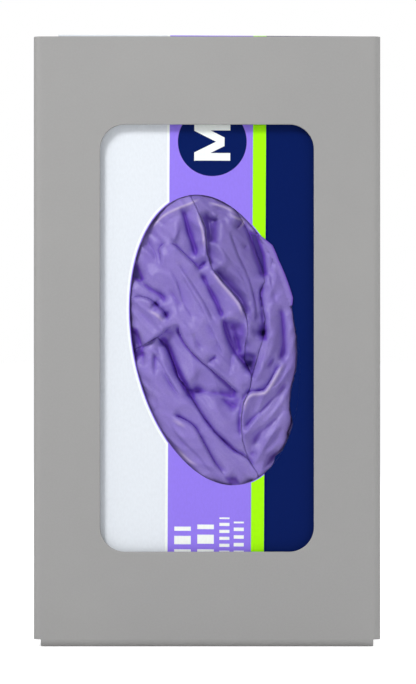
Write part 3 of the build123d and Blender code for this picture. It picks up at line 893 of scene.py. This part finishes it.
def make_mouth_gloves(material):
    """The four gloves that bulge in the opening, each crumpled and tucked against the next."""
    right, up = np.meshgrid(*(np.arange(-half, half, GRID_STEP) for half in GRID_HALF))
    height, drift_right, drift_up, painted_fold_shade, painted_highlight = film_relief(right, up)
    crumple = sum(depth * wander(right, up, *swell) for depth, *swell in UNDERSIDE_CRUMPLE)
    lapped = laps_over(right, up)
    for name, inside in glove_areas(right, up).items():
        from_edge = np.clip(inside / EDGE_REACH, 0, 1)
        front = np.maximum(height - EDGE_ROLL * (1 - from_edge) ** 2, DEEPEST_EDGE)
        front = np.where(lapped, np.maximum(front, LAP_HEIGHT + FILM_THICKNESS), front)
        back = np.minimum(UNDERSIDE + crumple, front - FILM_THICKNESS)
        back = np.where(lapped, front - FILM_THICKNESS, back)
        shades = {"painted_fold_shade": painted_fold_shade, "painted_highlight": painted_highlight, "painted_glove_shade": np.full(right.shape, PAINTED_GLOVE_SHADE[name])}
        piece = closed_film(name + "_film", inside, right + drift_right * from_edge,
                            up + drift_up * from_edge, front, back, shades)
        piece.data.materials.append(material)
        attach(piece, name)
        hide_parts(name)


BOARD_THICKNESS = 0.6
STRIP_FOOT, STRIP_HEAD, STRIP_STEP = -55, 13, 0.6
STRIP_LEAST = 0.15  # its least width
RAGGED, RAGGED_SIZE = 0.3, 2.4  # how uneven its torn edge is


def make_torn_strip(material):
    """The narrow strip of board that the tear has left along the lower right of the opening."""
    up = np.arange(STRIP_FOOT, STRIP_HEAD, STRIP_STEP)
    scan = np.arange(0, 45, 0.02)
    outer = np.array([scan[oval_share(scan, level) < 0.999][-1] for level in up])
    ragged = RAGGED * np.abs(wander(0 * up, up, RAGGED_SIZE, 41))
    inner = outer + np.minimum(torn_reach(up) + ragged, -STRIP_LEAST)
    count = len(up)
    points = [(OPENING.x + r * MM, OPENING.y + deep * MM, OPENING.z + u * MM)
              for deep in (0, BOARD_THICKNESS) for side in (inner, outer) for r, u in zip(side, up)]
    quads = []
    for i in range(count - 1):
        a, b, c, d = i, i + count, i + 2 * count, i + 3 * count
        quads += [(a, b, b + 1, a + 1), (c + 1, d + 1, d, c), (a + 1, c + 1, c, a), (b, d, d + 1, b + 1)]
    last = count - 1
    quads += [(0, 2 * count, 3 * count, count), (last, last + count, last + 3 * count, last + 2 * count)]
    mesh = bpy.data.meshes.new("torn_strip")
    mesh.from_pydata(points, [], quads)
    mesh.materials.append(material)
    piece = new_object("torn_strip", mesh)
    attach(piece, "carton")


STACK_CUTS = 56
STACK_CRUMPLE = [  # depth, size, seed, heading and stretch
    (1.5, 12, 31, WRINKLE_HEADING, 2.6), (0.7, 6, 32, CUFF_HEADING, 2.2)]
CRUMPLE_SHARPNESS, CRUMPLE_MOST = 0.7, 3
STACK_LAYER, LAYER_WAVER = 1.5, 0.8  # one glove, lying flat under the next, and its unevenness
SIDE_INSET, SIDE_INSET_MOST = 0.3, 2.0
CORNER_FROM, CORNER_INSET = 0.9, 12  # the stack's own edges and corners are rounded off
ON_A_FACE = 0.999  # share of the half size


def make_glove_stack(material):
    """The gloves still packed flat: the crumpled top one in front, and the layers' edges round it."""
    low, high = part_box("glove_stack")
    middle, half = (low + high) / 2, (high - low) / 2
    form = bmesh.new()
    bmesh.ops.create_cube(form, size=2.0)
    bmesh.ops.subdivide_edges(form, edges=form.edges, cuts=STACK_CUTS, use_grid_fill=True)
    places = np.array([corner.co for corner in form.verts])
    reach = np.array(half) / MM
    right, deep, up = (places * reach).T
    crumple = sum(depth * np.abs(wander(right, up, *swell)) ** CRUMPLE_SHARPNESS
                  for depth, *swell in STACK_CRUMPLE)
    turns = 2 * math.pi * deep / STACK_LAYER
    layers = 0.5 + 0.5 * np.sin(turns + LAYER_WAVER * wander(right, up, 9, 33))
    uneven = 0.5 * wander(right + deep * 3, up, 10, 34)
    edges = np.clip(SIDE_INSET + 0.5 * layers + uneven, 0, SIDE_INSET_MOST)
    insets = np.stack([edges, np.clip(crumple, 0, CRUMPLE_MOST), edges], axis=1)
    past = np.sort(np.abs(places), axis=1)[:, 1] - CORNER_FROM
    corners = np.maximum(past, 0)[:, None] * CORNER_INSET
    on_face = np.abs(places) > ON_A_FACE
    moved = places - places * on_face * (insets + corners) / reach
    # painted shade in the crumple's dips on the front, and between the layers' edges round the sides
    painted_fold_shade = np.where(on_face[:, 1], 0.35 * np.clip(crumple - 1.4, 0, 1), 0.5 * (1 - layers))
    for corner, place in zip(form.verts, moved):
        corner.co = middle + Vector(place * np.array(half))
    for face in form.faces:
        face.smooth = True
    mesh = bpy.data.meshes.new("glove_stack_film")
    form.to_mesh(mesh)
    form.free()
    mesh.attributes.new("painted_fold_shade", "FLOAT", "POINT").data.foreach_set("value", painted_fold_shade)
    mesh.materials.append(material)
    piece = new_object("glove_stack_film", mesh)
    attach(piece, "carton")
    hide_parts("glove_stack")


# ------------------------------------------------------------------ stage, light and camera
def make_stage():
    material, nodes, principled = new_material("pale_floor", Roughness=0.9, Specular_IOR_Level=0.1)
    grain = nodes.place(GRAIN, Size=0.02, Fineness=3.0)
    plain, flecked = linear(246, 246, 246), linear(250, 250, 250)
    link(nodes, principled, Base_Color=nodes.mix(grain["Tone"], plain, flecked))
    principled.inputs["Emission Color"].default_value = (1.0, 1.0, 1.0, 1.0)
    seen = nodes.add("ShaderNodeLightPath").outputs["Is Camera Ray"]
    link(nodes, principled, Emission_Strength=nodes.times(seen, 0.7))
    bpy.ops.mesh.primitive_plane_add(size=40, location=(0, 0, cad_box[0].z - 0.0002))
    floor = bpy.context.object
    floor.name = "floor"
    floor.data.materials.append(material)


def make_world():
    world = bpy.data.worlds.new("studio")
    world.use_nodes = True
    nodes = Tree(world.node_tree)
    world.node_tree.nodes.clear()
    seen = nodes.add("ShaderNodeBackground", {"Color": (1.0, 1.0, 1.0, 1.0), "Strength": 1.0})
    light = nodes.add("ShaderNodeBackground", {"Color": (0.97, 0.985, 1.0, 1.0), "Strength": 0.36})
    camera_ray = nodes.add("ShaderNodeLightPath").outputs["Is Camera Ray"]
    shade = nodes.add("ShaderNodeMixShader", {0: camera_ray, 1: light.outputs[0], 2: seen.outputs[0]})
    nodes.add("ShaderNodeOutputWorld", {"Surface": shade.outputs[0]})
    bpy.context.scene.world = world


LIGHTS = [  # name, place, what it is aimed at, size and power
    ("key", (-0.66, -1.0, 0.98), (0, -0.08, 0), 0.45, 14.4),
    ("side", (1.5, 0.25, 0.5), (0, -0.04, 0), 0.8, 7.0),
    ("fill", (0.9, -1.2, 0.3), (0, -0.08, 0), 0.9, 2.0),
    ("back", (0.4, 1.2, 1.0), (0, 0, 0), 0.9, 5.0),
]


def make_lights():
    for name, place, aim, size, power in LIGHTS:
        data = bpy.data.lights.new(name, "AREA")
        data.shape = "DISK"
        data.size = size
        data.energy = power
        lamp = new_object(name, data)
        lamp.location = place
        lamp.rotation_mode = "QUATERNION"
        lamp.rotation_quaternion = (Vector(aim) - Vector(place)).to_track_quat("-Z", "Y")


def make_camera():
    distance = 1.5
    framed_height = 0.2846
    aimed_x, aimed_z = 0.0004, -0.0002
    data = bpy.data.cameras.new("camera")
    data.sensor_width = 36.0
    data.lens = data.sensor_width * distance / framed_height
    data.clip_start = 0.01
    data.clip_end = 100.0
    camera = new_object("camera", data)
    camera.location = (aimed_x, HOLDER_FACE_Y - distance, aimed_z)
    camera.rotation_euler = (math.radians(90), 0, 0)
    bpy.context.scene.camera = camera


def paint(node, *materials):
    """Gives a CAD node its finish."""
    slots = frame["nodes"][node].data.materials
    slots.clear()
    for material in materials:
        slots.append(material)


make_stage()
make_world()
make_lights()
make_camera()

powder_coat = make_powder_coat()
rivet_metal = make_rivet_metal()
board = make_printed_board()
paint("front_cover", powder_coat)
paint("back_plate", powder_coat)
paint("back_plate_rivets", rivet_metal)
for name in frame["nodes"]:
    if name.startswith("carton_"):
        paint(name, board)

nitrile = make_nitrile()
make_mouth_gloves(nitrile)
make_torn_strip(board)
make_glove_stack(nitrile)

bpy.context.scene.view_settings.view_transform = "Standard"
